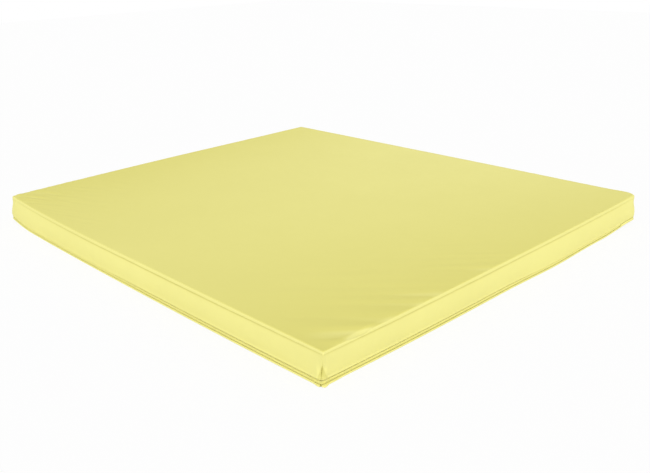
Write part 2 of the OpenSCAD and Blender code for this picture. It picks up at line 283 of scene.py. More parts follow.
def zip_bulge(side, share):
    """How far the zip stands out where it bends round the near corner."""
    if corner_at(side, share) != NEAR:
        return 0.0
    return ZIP_BULGE * math.exp(-to_corner(share) / ZIP_BULGE_REACH)


def zip_length(left_end, right_end):
    return 6 * HALF - left_end - right_end


# Shader kit


class Wire:
    """A shader socket on which Python's operators add Math nodes."""

    def __init__(self, finish, socket):
        self.finish = finish
        self.socket = socket

    def maths(self, operation, first, second):
        return self.finish.node("ShaderNodeMath", {"operation": operation}, {0: first, 1: second})

    def __add__(self, other):
        return self.maths("ADD", self, other)

    def __radd__(self, other):
        return self.maths("ADD", other, self)

    def __sub__(self, other):
        return self.maths("SUBTRACT", self, other)

    def __rsub__(self, other):
        return self.maths("SUBTRACT", other, self)

    def __mul__(self, other):
        return self.maths("MULTIPLY", self, other)

    def __rmul__(self, other):
        return self.maths("MULTIPLY", other, self)


class Finish:
    """A material whose nodes are added one call at a time."""

    def __init__(self, name, **constants):
        self.material = bpy.data.materials.new(name)
        self.material.use_nodes = True
        self.tree = self.material.node_tree
        self.shader = self.tree.nodes["Principled BSDF"]
        for socket, value in constants.items():
            self.shader.inputs[socket.replace("_", " ")].default_value = value

    def node(self, kind, settings=None, inputs=None, out=0):
        made = self.tree.nodes.new(kind)
        for key, value in (settings or {}).items():
            setattr(made, key, value)
        for key, value in (inputs or {}).items():
            if isinstance(value, Wire):
                self.tree.links.new(value.socket, made.inputs[key])
            else:
                made.inputs[key].default_value = value
        return Wire(self, made.outputs[out])

    def feed(self, socket, wire):
        self.tree.links.new(wire.socket, self.shader.inputs[socket])

    def place(self):
        return self.node("ShaderNodeTexCoord", {}, {}, "Object")

    def flat(self):
        return self.node("ShaderNodeUVMap", {"uv_map": "flat"})

    def noise(self, where, scale, detail=2.0):
        inputs = {"Vector": where, "Scale": scale, "Detail": detail}
        return self.node("ShaderNodeTexNoise", {}, inputs, "Fac")

    def stripes(self, where, scale, axis):
        settings = {"wave_type": "BANDS", "bands_direction": axis, "wave_profile": "SIN"}
        return self.node("ShaderNodeTexWave", settings, {"Vector": where, "Scale": scale}, "Fac")

    def split(self, where):
        made = self.tree.nodes.new("ShaderNodeSeparateXYZ")
        self.tree.links.new(where.socket, made.inputs[0])
        return [Wire(self, socket) for socket in made.outputs]

    def clamped(self, wire):
        return self.node("ShaderNodeClamp", {}, {"Value": wire})

    def between(self, share, first, second):
        inputs = {"Factor": share, 6: first, 7: second}
        return self.node("ShaderNodeMix", {"data_type": "RGBA"}, inputs, 2)

    def bump(self, height, distance, strength=1.0):
        inputs = {"Height": height, "Distance": distance, "Strength": strength}
        self.feed("Normal", self.node("ShaderNodeBump", {}, inputs))


def paint(red, green, blue):
    """Linear colour of a colour given in the 0 to 255 steps of a paint chart."""
    def linear(step):
        share = step / 255
        return share / 12.92 if share <= 0.04045 else ((share + 0.055) / 1.055) ** 2.4
    return linear(red), linear(green), linear(blue), 1.0


# Painted shade on the top panel: its colour darkens towards the left and right sides and towards the front
TOP_SHADE_BELOW = 1.5 * MM
TOP_SHADE_STEEPNESS = 700
TOP_SHADE_ALL_OVER = 0.05
TOP_SHADE_TO_THE_SIDES = 2.0
TOP_SHADE_TO_THE_FRONT = 0.4
WEAVE_SCALE = 420


def coated_cloth():
    """Smooth matt coated cloth: a fine weave under the coat and faint mottling, with painted shade in the
    seams, hem, creases and notch, and painted shade that darkens the top towards its sides and front.
    """
    cloth = Finish("coated_cloth", Roughness=0.62, Specular_IOR_Level=0.08, Specular_Tint=(1, 0.93, 0.35, 1))
    deep = paint(233, 227, 142)
    pale = paint(241, 235, 150)
    top_shade_tone = paint(222, 215, 119)
    weave_tone = paint(218, 211, 121)
    seam_shade_tone = paint(207, 200, 110)
    gap_shade_tone = paint(120, 114, 52)
    flat = cloth.flat()
    place = cloth.place()
    weave = cloth.stripes(flat, WEAVE_SCALE, "X") * cloth.stripes(flat, WEAVE_SCALE, "Y")
    grain = cloth.noise(flat, scale=900, detail=3)
    cloud = cloth.noise(place, scale=7, detail=3)
    patch = cloth.noise(place, scale=60, detail=2)
    # The seam attribute is painted shade: up to 1 it darkens towards the seam shade tone, above 1 towards the
    # darker gap shade tone
    seam = cloth.node("ShaderNodeAttribute", {"attribute_name": "seam"}, {}, "Fac")
    x, y, z = cloth.split(place)
    # Painted shade that darkens the top towards its sides and front; the mask keeps it to the top
    upper = cloth.clamped((z - EDGE_H + TOP_SHADE_BELOW) * TOP_SHADE_STEEPNESS)
    painted_top_shade = upper * (TOP_SHADE_ALL_OVER + TOP_SHADE_TO_THE_SIDES * x * x + TOP_SHADE_TO_THE_FRONT * (HALF - y))
    tint = cloth.between(cloud * 0.7 + patch * 0.3, deep, pale)
    tint = cloth.between(painted_top_shade, tint, top_shade_tone)
    tint = cloth.between(weave * 0.08, tint, weave_tone)
    # Painted shade from the seam attribute: in seam valleys, along the hem and lip, in creases and in the
    # notch
    tint = cloth.between(cloth.clamped(seam), tint, seam_shade_tone)
    tint = cloth.between(cloth.clamped(seam - 1), tint, gap_shade_tone)
    cloth.feed("Base Color", tint)
    cloth.feed("Roughness", 0.54 + 0.16 * grain + 0.05 * weave)
    cloth.bump(weave * 0.5 + grain, distance=0.06 * MM)
    return cloth.material


def zip_tape_cloth():
    """Woven polyester tape with a slanting rib."""
    tape = Finish("zip_tape", Roughness=0.8, Sheen_Weight=0.2)
    flat = tape.flat()
    rib = tape.stripes(flat, scale=500, axis="DIAGONAL")
    fuzz = tape.noise(flat, scale=1500, detail=2)
    deep = paint(226, 219, 130)
    pale = paint(240, 234, 145)
    tape.feed("Base Color", tape.between(rib * 0.6 + fuzz * 0.4, deep, pale))
    tape.feed("Roughness", 0.72 + 0.18 * fuzz)
    tape.bump(rib + fuzz * 0.5, distance=0.1 * MM)
    return tape.material


def zip_filament():
    """Satin nylon of the chain's teeth, a little uneven in tone."""
    nylon = Finish("zip_filament", Roughness=0.38)
    cloud = nylon.noise(nylon.place(), scale=350, detail=2)
    deep = paint(228, 222, 132)
    pale = paint(240, 234, 146)
    nylon.feed("Base Color", nylon.between(cloud, deep, pale))
    nylon.feed("Roughness", 0.3 + 0.2 * cloud)
    return nylon.material


def sewing_thread():
    """Twisted polyester thread, close to the cloth's colour."""
    thread = Finish("sewing_thread", Roughness=0.6, Sheen_Weight=0.2)
    ply = thread.noise(thread.place(), scale=2600, detail=1)
    deep = paint(222, 214, 120)
    pale = paint(244, 237, 149)
    thread.feed("Base Color", thread.between(ply, deep, pale))
    thread.bump(ply, distance=0.08 * MM)
    return thread.material


def open_foam():
    """Pale open-cell foam with fine pores."""
    foam = Finish("open_foam", Roughness=0.95)
    place = foam.place()
    pores = foam.node("ShaderNodeTexVoronoi", {}, {"Vector": place, "Scale": 420}, "Distance")
    cloud = foam.noise(place, scale=12, detail=3)
    deep = paint(222, 212, 186)
    pale = paint(248, 243, 228)
    foam.feed("Base Color", foam.between(pores * 0.5 + cloud * 0.5, deep, pale))
    foam.feed("Roughness", 0.85 + 0.12 * cloud)
    foam.bump(pores, distance=0.6 * MM)
    return foam.material


def plated_metal():
    """Satin nickel plate on the slider, the tab and the stops, with fine handling marks."""
    plate = Finish("plated_metal", Metallic=1.0, Roughness=0.3)
    place = plate.place()
    marks = plate.noise(place, scale=900, detail=4)
    cloud = plate.noise(place, scale=160, detail=2)
    deep = paint(168, 167, 163)
    pale = paint(205, 204, 200)
    plate.feed("Base Color", plate.between(cloud, deep, pale))
    plate.feed("Roughness", 0.24 + 0.2 * marks)
    plate.bump(marks, distance=0.03 * MM, strength=0.6)
    return plate.material


CLOTH = coated_cloth()
TAPE = zip_tape_cloth()
FILAMENT = zip_filament()
THREAD = sewing_thread()
FOAM = open_foam()
METAL = plated_metal()


def add_piece(name, bm, material, body, slot, *nodes):
    """Makes a finished mesh a piece that rides on a body and stands for its solids."""
    mesh = bpy.data.meshes.new(name)
    bm.to_mesh(mesh)
    bm.free()
    mesh.materials.append(material)
    for face in mesh.polygons:
        face.use_smooth = True
    piece = bpy.data.objects.new(name, mesh)
    bpy.context.scene.collection.objects.link(piece)
    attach(piece, body)
    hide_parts(*nodes)
    return piece


def round_edges(bm, edges, radius, segments, clamp=False):
    """Rounds sharp edges of a mesh off to a radius."""
    form = {"segments": segments, "profile": 0.5, "affect": "EDGES", "material": -1}
    bmesh.ops.bevel(bm, geom=edges, offset=radius, clamp_overlap=clamp, **form)


def thicken(piece, thickness, levels):
    """Rounds a sheet where it is asked for, and gives it its thickness on the inside."""
    if levels:
        rounding = piece.modifiers.new("rounding", "SUBSURF")
        rounding.levels = levels
        rounding.render_levels = levels
    wall = piece.modifiers.new("wall", "SOLIDIFY")
    wall.thickness = thickness
    wall.offset = -1
    return piece


# Cover panels


def graded(count, total, fine, growth):
    """Distances from a sheet's edge to its middle, with fine steps first and even ones after."""
    rows = [0.0]
    spacing = fine
    for row in range(count):
        spacing = min(spacing, (total - rows[-1]) / (count - row))
        rows.append(rows[-1] + spacing)
        spacing = spacing * growth
    return [row * total / rows[-1] for row in rows]


def from_edge(value, rows):
    """Distance from the cut edge, and the flat place, of a grid line between -1 and 1."""
    line = round((1 - abs(value)) * (len(rows) - 1))
    return rows[line], math.copysign(rows[-1] - rows[line], value)


def side_of(x, y):
    """Side and share along it of a flat place."""
    reach = max(abs(x), abs(y), TINY)
    if abs(y) >= abs(x):
        return (FRONT, x / reach) if y < 0 else (BACK, -x / reach)
    return (RIGHT, y / reach) if x > 0 else (LEFT, -y / reach)


def shaped_sheet(columns, rows, shape):
    """Sheet made from a grid, each vertex put where shape says, with its cut kept as a flat map."""
    bm = bmesh.new()
    bmesh.ops.create_grid(bm, x_segments=columns, y_segments=rows, size=1.0)
    # The seam layer holds each vertex's painted shade, which the cloth's colour reads
    seam = bm.verts.layers.float.new("seam")
    cut = {}
    for vertex in bm.verts:
        flat, place, shade = shape(vertex.co.x, vertex.co.y)
        cut[vertex] = flat
        vertex[seam] = shade
        vertex.co = settled(place)
    layer = bm.loops.layers.uv.new("flat")
    for face in bm.faces:
        for loop in face.loops:
            loop[layer].uv = cut[loop.vert]
    return bm


PUCKER_FINE = 0.35
PUCKER_FINE_PITCH = 9 * MM
PUCKER_BROAD = 0.3
PUCKER_BROAD_PITCH = 23 * MM


def pucker(side, share, depth, reach):
    """Small gathers, in millimetres, that stand square to a seam and die away over a reach."""
    fade = math.exp(-depth / reach)
    p = on_side(side, share, 0, 0)
    fine = PUCKER_FINE * drift(p, PUCKER_FINE_PITCH, seed=21)
    broad = PUCKER_BROAD * drift(p, PUCKER_BROAD_PITCH, seed=33)
    return fade * (fine + broad)


TOP_LINES = 210
TOP_CUT = HALF - ROLL_OUT - ROLL_W + VALLEY + ROLL_LENGTH + ALLOWANCE
top_rows = graded(TOP_LINES // 2, TOP_CUT, fine=0.6 * MM, growth=1.05)
SEAM_IN_CORNER = 0.9 * MM
SEAM_FADE = {NEAR: 7 * MM, OUTER_LEFT: 300 * MM, OUTER_RIGHT: 200 * MM, FAR: 7 * MM}


def seam_shows(corner, from_corner):
    """How plainly the top seam shows, in its depth and in its painted shade, which fade towards the corners.
    """
    return 1 - math.exp(-from_corner / SEAM_FADE[corner])


def seam_inset(corner, from_corner):
    """Depth of the top seam, which grows shallow at the corners."""
    return mix(SEAM_IN_CORNER, SEAM_IN, seam_shows(corner, from_corner))


def top_profile(edge, corner, from_corner):
    """Inset, height and painted seam shade of the top panel at a distance from its cut edge."""
    foot = SEAM_Z + SEAM_GAP / 2
    seam_in = seam_inset(corner, from_corner)
    dark = seam_shows(corner, from_corner)
    if edge < ALLOWANCE:
        return seam_in + ALLOWANCE - edge, foot, dark
    edge = edge - ALLOWANCE
    if edge < VALLEY:
        turn = QUARTER * edge / VALLEY
        inset = mix(seam_in, ROLL_OUT, math.sin(turn))
        return inset, foot + VALLEY_RISE * (1 - math.cos(turn)), dark * (1 - edge / VALLEY)
    edge = edge - VALLEY
    if edge < ROLL_LENGTH:
        turn = QUARTER * edge / ROLL_LENGTH
        return ROLL_OUT + ROLL_W * (1 - math.cos(turn)), mix(foot + VALLEY_RISE, EDGE_H, math.sin(turn)), 0.0
    return ROLL_OUT + ROLL_W + edge - ROLL_LENGTH, EDGE_H, 0.0


def drag_lines(p, heading, pitch, length, seed):
    """Long shallow folds that run along a heading, from anisotropic noise."""
    cosine = math.cos(math.radians(heading))
    sine = math.sin(math.radians(heading))
    along = p.x * cosine + p.y * sine
    across = p.y * cosine - p.x * sine
    return noise.noise(Vector((along / length, across / pitch, seed)))


BROAD_FOLD = 2.8 * MM
FINE_FOLD = 1.1 * MM
RIGHT_FOLD_REACH = 90 * MM
RIGHT_FOLD_TURN = 50
RIGHT_FOLD_END = 200 * MM
RIGHT_FOLD_FADE = 250 * MM
FRONT_FADE = 50 * MM
BROAD_END = -120 * MM
BROAD_FADE = 200 * MM
LEFT_FOLD = 2.3 * MM
LEFT_FOLD_REACH = 160 * MM
LEFT_FOLD_TURN = 24


def top_folds(p):
    """Shallow folds on the top: long ones in from the right side, and short ones by the outer left corner."""
    from_right = HALF - p.x
    beside = smooth((RIGHT_FOLD_END - p.y) / RIGHT_FOLD_FADE) * smooth((p.y + HALF) / FRONT_FADE)
    nearer = smooth((BROAD_END - p.y) / BROAD_FADE)
    broad = drag_lines(p, RIGHT_FOLD_TURN, pitch=22 * MM, length=220 * MM, seed=5)
    fine = drag_lines(p, RIGHT_FOLD_TURN, pitch=13 * MM, length=170 * MM, seed=8)
    depth = BROAD_FOLD * nearer * broad + FINE_FOLD * (1 - nearer) * fine
    right = math.exp(-from_right / RIGHT_FOLD_REACH) * beside * depth
    reach = math.hypot(p.x + HALF, p.y + HALF)
    short = drag_lines(p, LEFT_FOLD_TURN, pitch=11 * MM, length=90 * MM, seed=12)
    return right + LEFT_FOLD * math.exp(-reach / LEFT_FOLD_REACH) * short


# Sags of the rolled edge along each side: how far along, how wide and how deep
SHOULDER_W = 9 * MM
EDGE_DIPS = {
    FRONT: (),
    RIGHT: ((75 * MM, 38 * MM, 3.0 * MM), (150 * MM, 18 * MM, 0.6 * MM), (230 * MM, 30 * MM, 0.6 * MM)),
    BACK: ((560 * MM, 250 * MM, 0.9 * MM),),
    LEFT: (),
}


def edge_dip(side, share, depth):
    """How far the top's rolled edge sags in places along a side."""
    if depth <= VALLEY:
        return 0.0
    distance = HALF * (1 + share)
    dip = sum(deep * hump(distance - where, wide) for where, wide, deep in EDGE_DIPS[side])
    past_roll = depth - VALLEY - ROLL_LENGTH
    return dip * smooth((depth - VALLEY) / ROLL_LENGTH) * smooth(1 - past_roll / SHOULDER_W)


WAVE_REACH = 4 * MM
TOP_PUCKER_REACH = 8 * MM
TOP_RIPPLE = 0.5 * MM
TOP_RIPPLE_PITCH = 160 * MM
TOP_RIPPLE_FROM = 60 * MM


def top_shape(a, b):
    """Shape of the top panel, from the seam allowance at its cut edge to its crowned middle."""
    edge_x, x = from_edge(a, top_rows)
    edge_y, y = from_edge(b, top_rows)
    edge = min(edge_x, edge_y)
    side, share = side_of(x, y)
    inset, z, shade = top_profile(edge, corner_at(side, share), to_corner(share))
    depth = max(edge - ALLOWANCE, 0.0)
    place = on_side(side, share, inset, z + seam_wave(side, share) * math.exp(-depth / WAVE_REACH))
    swell = pucker(side, share, max(depth - VALLEY, 0.0), TOP_PUCKER_REACH) * MM * smooth(depth / VALLEY)
    rise = CROWN * (1 - (place.x / HALF) ** 2) * (1 - (place.y / HALF) ** 2)
    ripple = TOP_RIPPLE * drift(place, TOP_RIPPLE_PITCH, seed=50) * smooth(depth / TOP_RIPPLE_FROM)
    folds = top_folds(place) * smooth((depth - VALLEY) / ROLL_LENGTH)
    place.z = place.z + rise + ripple + swell + folds - edge_dip(side, share, depth)
    return (x, y), place, shade


BAND_LINES = 280
FOLD_ROWS = 4
BAND_ROWS = 20
band_columns = graded(BAND_LINES // 2, HALF, fine=0.9 * MM, growth=1.035)
BELLY = 1.2 * MM
BELLY_POWER = 0.7
CORNER_BELLY = {NEAR: 1.0 * MM, OUTER_LEFT: 0.0, OUTER_RIGHT: -0.5 * MM, FAR: 1.0 * MM}
CORNER_BELLY_REACH = 60 * MM

# Crease at the foot of a corner seam; heights are shares of the band's height
TUCK = {NEAR: 3.3 * MM, OUTER_LEFT: 0.6 * MM, OUTER_RIGHT: 0.6 * MM, FAR: 2 * MM}
CREASE_W = 1.8 * MM
CREASE_POWER = 0.8
CREASE_TOP = 0.6
CREASE_TOP_FADE = 0.25
CREASE_AT_FOOT = 0.3
CREASE_FULL = 0.3
GROOVE = 0.14
GROOVE_AT = 5 * MM
GROOVE_W = 1.2 * MM
LOBE = 0.25
LOBE_AT = 9 * MM
LOBE_W = 4 * MM
# Painted shade of a corner's crease: a thin line and a wedge beside it
LINE_SHADE = 0.35
LINE_W = 1.4 * MM
LINE_TOP = 0.58
LINE_TOP_FADE = 0.1
LINE_FOOT = 0.05
LINE_FOOT_FADE = 0.25
WEDGE_SHADE = 0.6
WEDGE_TOP = 0.5
WEDGE_HEIGHT = 0.4
WEDGE_FOOT_FADE = 0.06
WEDGE_SOFTNESS = 3 * MM
CREASE_SHADE = {NEAR: 1.0, OUTER_LEFT: 0.15, OUTER_RIGHT: 0.15, FAR: 0.6}
WEDGE_W = {FRONT: 6.5 * MM, RIGHT: 11 * MM, BACK: 6.5 * MM, LEFT: 6.5 * MM}


def crease_depth(rise):
    """How far a corner's crease has opened at a share of the band's height: most a third of the way up."""
    return smooth((CREASE_TOP - rise) / CREASE_TOP_FADE) * mix(CREASE_AT_FOOT, 1, smooth(rise / CREASE_FULL))


def crease_shade(side, corner, from_corner, rise):
    """Painted shade in a corner's crease: a thin line that fades out downwards, in a wedge that widens
    downwards.
    """
    ends = smooth((LINE_TOP - rise) / LINE_TOP_FADE) * smooth((rise - LINE_FOOT) / LINE_FOOT_FADE)
    line = math.exp(-from_corner / LINE_W) * ends
    spread = WEDGE_W[side] * max(0.0, WEDGE_TOP - rise) / WEDGE_HEIGHT
    wedge = smooth((spread - from_corner) / WEDGE_SOFTNESS + 0.5) * smooth(rise / WEDGE_FOOT_FADE)
    return CREASE_SHADE[corner] * (LINE_SHADE * line + WEDGE_SHADE * wedge)


def corner_tuck(corner, from_corner, rise):
    """Inset at the foot of a corner seam: a crease, then a shallow groove and a soft lobe on each side."""
    depth = crease_depth(rise)
    crease = math.exp(-from_corner / CREASE_W) * depth ** CREASE_POWER
    groove = GROOVE * hump(from_corner - GROOVE_AT, GROOVE_W) * depth
    lobe = LOBE * hump(from_corner - LOBE_AT, LOBE_W) * depth
    return TUCK[corner] * (crease + groove - lobe)


def band_inset(corner, from_corner, rise):
    """Inset of a band's face at a share of its height, with its swell, its hem and the tuck at the corner."""
    fall = math.exp(-from_corner / CORNER_BELLY_REACH)
    bulge = math.sin(math.pi * rise) ** BELLY_POWER if 0 < rise < 1 else 0.0
    swell = mix(BELLY, CORNER_BELLY[corner], fall) * bulge
    return mix(HEM_IN, seam_inset(corner, from_corner), rise) - swell + corner_tuck(corner, from_corner, rise)


# Painted shade along the hem, where it is sewn shut and where the zip's slot is open, and small forms of the
# band
HEM_SHADE_SEWN = 0.9
HEM_SHADE_OPEN = 0.05
HEM_SHADE_H = 4 * MM
SEAM_SHADE_H = 2.8 * MM
FIRST_CLIMB = 0.12
SEAM_PUCKER_REACH = 7 * MM
HEM_PUCKER = 0.8
HEM_PUCKER_REACH = 8 * MM
BAND_RIPPLE = 0.5
BAND_RIPPLE_PITCH = 70 * MM
STITCH_DENT = 0.35 * MM
STITCH_DENT_W = 1.2 * MM


def band_shape(side):
    """Shape of one side band, from its folded hem to its seam allowance under the top seam."""
    last = FOLD_ROWS + BAND_ROWS

    def shape(a, b):
        from_corner, along = from_edge(a, band_columns)
        share = along / HALF
        corner = corner_at(side, share)
        row = round((b + 1) / 2 * last)
        foot = band_foot(side, share)
        head = SEAM_Z - SEAM_GAP / 2 + seam_wave(side, share)
        slot = slot_open(side, share)
        # Painted shade along the hem: strong where sewn shut, faint along the open zip
        shade = mix(HEM_SHADE_SEWN, HEM_SHADE_OPEN, slot)
        if row == 0:
            inset, z = HEM_IN + HEM_PLY, foot + HEM_H
        elif row < FOLD_ROWS:
            turn = math.pi * (row - 1) / (FOLD_ROWS - 1)
            inset = HEM_IN + HEM_PLY / 2 * (1 + math.cos(turn))
            z = foot + HEM_PLY / 2 * (1 - math.sin(turn))
        elif row == last:
            inset, z = seam_inset(corner, from_corner) + ALLOWANCE, head
            # Painted shade on the seam allowance under the top seam
            shade = seam_shows(corner, from_corner)
        else:
            climb = (row - FOLD_ROWS) / (BAND_ROWS - 1)
            rise = 0.5 - 0.5 * math.cos(math.pi * mix(FIRST_CLIMB, 1, climb))
            z = mix(foot, head, rise)
            rise = (z - foot) / (head - foot)
            gather = pucker(side, share, head - z, SEAM_PUCKER_REACH)
            gather = gather + HEM_PUCKER * pucker(side, share, z - foot, HEM_PUCKER_REACH)
            ripple = BAND_RIPPLE * drift(on_side(side, share, 0, z), BAND_RIPPLE_PITCH, seed=71)
            held = math.sqrt(math.sin(math.pi * min(1.0, rise)))
            dent = STITCH_DENT * hump(z - foot - HEM_STITCH, STITCH_DENT_W) * slot
            roll = HEM_ROLL * hump(z - foot - HEM_ROLL_AT, HEM_ROLL_W) * slot
            inset = band_inset(corner, from_corner, rise) + (gather + ripple) * MM * held + dent - roll
            # Painted shade below the top seam, along the hem and in the corner crease
            seam = max(0.0, 1 - (head - z) / SEAM_SHADE_H) * seam_shows(corner, from_corner)
            hem = max(0.0, shade - (z - foot) / HEM_SHADE_H)
            shade = seam + hem + crease_shade(side, corner, from_corner, rise)
        if row < FOLD_ROWS:
            inset = inset + corner_tuck(corner, from_corner, 0)
        return (along, z), on_side(side, share, inset, z), shade

    return shape


BOTTOM_LINES = 130
RIM_LENGTH = 5.3 * MM
LIP_FOLD = 2.2 * MM
LIP_PLY = 0.9 * MM
# Painted shade on the rim's lip: strong where sewn shut, lighter along the open zip
LIP_SHADE_SEWN = 0.9
LIP_SHADE_OPEN = 0.25
RIM_STITCH = 11.2 * MM
RIM_DENT = 0.5 * MM
RIM_DENT_W = 1.5 * MM

# Notch and bulges of the rim at the near corner: each bulge's distance from the corner, width and depth
RIM_NOTCH = 1.6 * MM
RIM_NOTCH_AT = 0.8 * MM
RIM_NOTCH_W = 1.8 * MM
# Painted shade in the notch; above 1 it reaches the darker gap shade tone
RIM_NOTCH_SHADE = 2
RIM_NOTCH_REACH = 20 * MM
RIM_KNOBS = {
    FRONT: ((7 * MM, 5 * MM, 2.2 * MM),),
    RIGHT: ((8 * MM, 6 * MM, 4.0 * MM), (26 * MM, 14 * MM, 1.6 * MM)),
    BACK: (),
    LEFT: (),
}
BOTTOM_CUT = HALF - RIM_IN + RIM_LENGTH + LIP_FOLD
bottom_rows = graded(BOTTOM_LINES // 2, BOTTOM_CUT, fine=0.45 * MM, growth=1.1)


def bottom_shape(a, b):
    """Shape of the bottom panel, from the folded lip of its turned-up rim to its flat middle."""
    edge_x, x = from_edge(a, bottom_rows)
    edge_y, y = from_edge(b, bottom_rows)
    edge = min(edge_x, edge_y)
    side, share = side_of(x, y)
    lip = bottom_lip(side, share)
    notch = hump(to_corner(share) - RIM_NOTCH_AT, RIM_NOTCH_W) * (side == FRONT and share > 0)
    knob = sum(out * hump(to_corner(share) - where, wide) for where, wide, out in RIM_KNOBS[side])
    knob = knob * (corner_at(side, share) == NEAR)
    tuck = RIM_NOTCH * notch
    # shade here is painted shade, on the lip fold and in the notch
    shade = 0.0
    if edge < LIP_FOLD:
        turn = QUARTER * edge / LIP_FOLD
        inset = RIM_IN + LIP_PLY * math.cos(turn) + tuck
        z = lip / 2 * (1 + math.sin(turn))
        shade = max(mix(LIP_SHADE_SEWN, LIP_SHADE_OPEN, slot_open(side, share)), RIM_NOTCH_SHADE * notch)
    elif edge < LIP_FOLD + RIM_LENGTH:
        turn = math.pi * (edge - LIP_FOLD) / RIM_LENGTH
        inset = RIM_IN - (RIM_BULGE + knob) * math.sin(turn) + tuck
        z = lip / 2 * (1 + math.cos(turn))
        shade = RIM_NOTCH_SHADE * notch
    else:
        inset = RIM_IN + edge - LIP_FOLD - RIM_LENGTH
        z = RIM_DENT * hump(inset - RIM_STITCH, RIM_DENT_W) * slot_open(side, share)
        inset = inset + tuck * math.exp(-(inset - HEM_IN) / RIM_NOTCH_REACH)
    return (x, y), on_side(side, share, inset, z), shade


def add_sheet(name, bm, material, slot, node, length):
    """Makes a sewn sheet a piece; the width it was cut to is worked out but not kept."""
    width = sum(face.calc_area() for face in bm.faces) / length
    piece = add_piece(name, bm, material, "mat", slot, node)
    return piece


SWELL_MASS = 0.3
SWELL_PRESSURE = 4.0
SWELL_STIFFNESS = 0.3
SWELL_STEPS = 16
SWELL_CAP = 4 * MM
HELD_ROWS = 3
HELD_COLUMNS = 8


def held_share(index):
    """Share from 0 to 1 to which a band's vertex is held: 1 along its seams, its hem and its ends."""
    row, column = divmod(index, BAND_LINES + 1)
    low = FOLD_ROWS + HELD_ROWS
    high = FOLD_ROWS + BAND_ROWS - HELD_ROWS
    inside = low <= row <= high and HELD_COLUMNS <= column <= BAND_LINES - HELD_COLUMNS
    return 0.0 if inside else 1.0


def swell(bands):
    """Lets the foam push the bands' cloth out in a simulation, with their seams held, and keeps the shape."""
    for band in bands:
        group = band.vertex_groups.new(name="held")
        for vertex in band.data.vertices:
            group.add([vertex.index], held_share(vertex.index), "REPLACE")
        run = band.modifiers.new("swell", "CLOTH")
        run.collision_settings.use_collision = False
        cloth = run.settings
        cloth.mass = SWELL_MASS
        cloth.tension_stiffness = SWELL_STIFFNESS
        cloth.compression_stiffness = SWELL_STIFFNESS
        cloth.shear_stiffness = SWELL_STIFFNESS / 3
        cloth.use_pressure = True
        cloth.uniform_pressure_force = SWELL_PRESSURE
        cloth.vertex_group_mass = group.name
        cloth.effector_weights.gravity = 0
    for step in range(SWELL_STEPS):
        bpy.context.scene.frame_set(step + 1)
    graph = bpy.context.evaluated_depsgraph_get()
    swollen = [[vertex.co.copy() for vertex in band.evaluated_get(graph).data.vertices] for band in bands]
    for band, places in zip(bands, swollen):
        band.modifiers.clear()
        band.vertex_groups.clear()
        for vertex, place in zip(band.data.vertices, places):
            move = place - vertex.co
            vertex.co = vertex.co + move * min(1.0, SWELL_CAP / max(move.length, TINY))
    bpy.context.scene.frame_set(1)


def add_cover():
    """The six panels of the cover, each a sheet with its own cut."""
    top = shaped_sheet(TOP_LINES, TOP_LINES, top_shape)
    over = add_sheet("cover_top", top, CLOTH, "cover", "top_panel", 2 * TOP_CUT)
    thicken(over, CLOTH_T, levels=0)
    bands = []
    for side, name in enumerate(SIDES):
        band = shaped_sheet(BAND_LINES, FOLD_ROWS + BAND_ROWS, band_shape(side))
        bands.append(add_sheet("cover_band_" + name, band, CLOTH, "cover", "band_" + name, 2 * HALF))
    swell(bands)
    for band in bands:
        thicken(band, CLOTH_T, levels=1)
    bottom = shaped_sheet(BOTTOM_LINES, BOTTOM_LINES, bottom_shape)
    bmesh.ops.reverse_faces(bottom, faces=bottom.faces)
    under = add_sheet("cover_bottom", bottom, CLOTH, "cover", "bottom_panel", 2 * BOTTOM_CUT)
    thicken(under, CLOTH_T, levels=0)


# Foam

FOAM_IN = 10.5 * MM
FOAM_LOW = 2.4 * MM
FOAM_HIGH = 61.2 * MM
FOAM_CORNER_R = 24 * MM
FOAM_EDGE_R = 6 * MM
FOAM_CUTS = 24


def add_foam():
    """Foam slab inside the cover, with eased edges and the top's crown."""
    bm = bmesh.new()
    bmesh.ops.create_cube(bm, size=2.0)
    middle = (FOAM_LOW + FOAM_HIGH) / 2
    bmesh.ops.scale(bm, vec=(HALF - FOAM_IN, HALF - FOAM_IN, FOAM_HIGH - middle), verts=bm.verts)
    bmesh.ops.translate(bm, vec=(0, 0, middle), verts=bm.verts)
    upright = [edge for edge in bm.edges if abs(edge.verts[0].co.z - edge.verts[1].co.z) > middle]
    round_edges(bm, upright, FOAM_CORNER_R, segments=5)
    rims = [edge for edge in bm.edges if abs(edge.verts[0].co.z - edge.verts[1].co.z) < MM]
    round_edges(bm, rims, FOAM_EDGE_R, segments=3)
    long_edges = [edge for edge in bm.edges if edge.calc_length() > HALF]
    bmesh.ops.subdivide_edges(bm, edges=long_edges, cuts=FOAM_CUTS, use_grid_fill=True)
    for vertex in bm.verts:
        p = vertex.co
        lift = CROWN * (1 - (p.x / HALF) ** 2) * (1 - (p.y / HALF) ** 2)
        rise = max(0.0, (p.z - middle) / (FOAM_HIGH - middle))
        vertex.co = settled(p) + Vector((0, 0, lift * rise))
    bmesh.ops.recalc_face_normals(bm, faces=bm.faces)
    slab = add_piece("foam_block", bm, FOAM, "mat", "foam", "foam_core")


# Zip

TAPE_COLUMNS = 900
UPPER_TAPE_ROWS = 4
LOWER_TAPE_ROWS = 6
TAPE_TOP = 19.8 * MM
TAPE_LIP = 1.3 * MM
TAPE_FOOT = 1.4 * MM
TAPE_TURN = 8 * MM
TAPE_MEET = 0.05 * MM
TAPE_MEET_OVER = 4 * MM


